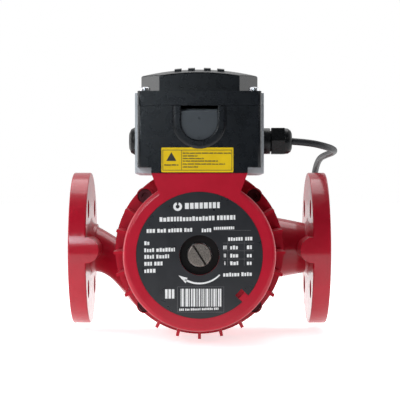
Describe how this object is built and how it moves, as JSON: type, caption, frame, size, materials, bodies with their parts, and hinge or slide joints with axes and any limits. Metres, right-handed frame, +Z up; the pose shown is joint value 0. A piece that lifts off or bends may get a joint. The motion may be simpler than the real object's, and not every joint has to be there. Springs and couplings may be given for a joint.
{
  "type": "circulator pump",
  "caption": "Flanged in-line wet-rotor circulator pump for heating water, with a finned motor, a vent screw in its face and a terminal box with a cable gland and lead on top.",
  "frame": {"origin": "centre of the inlet flange's face", "axes": "+X out of the inlet along the pipe, +Z up towards the terminal box, the motor's face looks along -Y"},
  "size_m": [0.256, 0.4049, 0.2482],
  "materials": {
    "red_casting": "glossy sprayed enamel over a cast surface",
    "red_motor_casting": "glossy sprayed enamel over a die-cast surface",
    "stainless": "turned and pressed stainless steel",
    "carbon": "dull ground carbon",
    "laminations": "stacked steel sheets",
    "aluminium": "die cast",
    "copper_enamel": "enamelled copper wire under varnish",
    "zinc_steel": "zinc plated steel",
    "nickel_brass": "brushed nickel plate on brass",
    "brass": "machined",
    "nameplate_print": "satin printed film",
    "yellow_print": "printed vinyl",
    "black_plastic": "satin textured moulding",
    "black_gland": "satin polyamide",
    "dark_grey_plastic": "satin moulding",
    "black_steel": "black oxide on steel",
    "grey_plastic": "satin moulding",
    "white_plastic": "satin moulding",
    "red_plastic": "smooth moulding",
    "black_rubber": "moulded rubber",
    "cord_sheath": "smooth matt sheath",
    "core_insulation": "coloured core insulation with ferrules"
  },
  "bodies": {
    "pump": {"pump_housing": "red_casting", "inlet_flange": "red_casting", "outlet_flange": "red_casting", "motor_housing": "red_motor_casting", "wear_ring": "stainless", "housing_gasket": "black_rubber", "bearing_plate": "stainless", "rear_bearing_bush": "carbon", "front_bearing_bush": "carbon", "rotor_can": "stainless", "front_bearing_carrier": "stainless", "vent_seat": "stainless", "stator_core": "laminations", "stator_windings": "copper_enamel", "motor_screws": "black_steel", "nameplate": "nameplate_print", "recess_grommet": "black_rubber", "terminal_box_base": "grey_plastic", "terminal_box_front": "black_plastic", "module_blank_plate": "dark_grey_plastic", "caution_sticker": "yellow_print", "lid_gasket": "black_rubber", "terminal_block": "white_plastic", "terminal_screws": "brass", "box_fixing_screws": "zinc_steel", "selector_base": "white_plastic", "earth_screw": "zinc_steel", "gland_body": "black_gland", "gland_nut": "black_gland", "gland_seal": "black_rubber", "blanking_plug": "black_gland", "gland_locknuts": "black_gland", "supply_cord": "cord_sheath", "cord_tail": "cord_sheath", "cord_coil": "cord_sheath", "cord_tie": "black_gland", "cord_cores": "core_insulation"},
    "rotor": {"rotor_shaft": "stainless", "rotor_core": "laminations", "rotor_end_rings": "aluminium", "rotor_jacket": "stainless", "thrust_bearing": "carbon", "impeller": "stainless", "impeller_shroud": "stainless", "impeller_nut": "zinc_steel"},
    "box_lid": {"terminal_box_lid": "black_plastic", "lid_screws": "zinc_steel"},
    "vent_seal_ring": {"vent_screw_seal": "black_rubber"},
    "vent_screw": {"vent_screw": "nickel_brass"},
    "speed_knob": {"speed_selector": "red_plastic"}
  },
  "joints": [
    {"name": "rotor_spin", "type": "hinge", "parent": "pump", "child": "rotor", "pos_m": [-0.125, -0.1, 0], "axis": [0, 1, 0], "continuous": true},
    {"name": "lid_lift", "type": "slide", "parent": "pump", "child": "box_lid", "axis": [0, 0, 1], "range_m": [0, 0.06]},
    {"name": "vent_screw_travel", "type": "slide", "parent": "pump", "child": "vent_seal_ring", "axis": [0, -1, 0], "range_m": [0, 0.009]},
    {"name": "vent_screw_turn", "type": "hinge", "parent": "vent_seal_ring", "child": "vent_screw", "pos_m": [-0.125, -0.18, 0], "axis": [0, -1, 0], "range_deg": [0, 2160]},
    {"name": "speed_select", "type": "hinge", "parent": "pump", "child": "speed_knob", "pos_m": [-0.143, -0.112, 0.09], "axis": [0, 0, 1], "range_deg": [0, 120]}
  ],
  "couplings": [
    {"joint": "vent_screw_travel", "follows": "vent_screw_turn", "m_per_rad": 0.00023873}
  ]
}
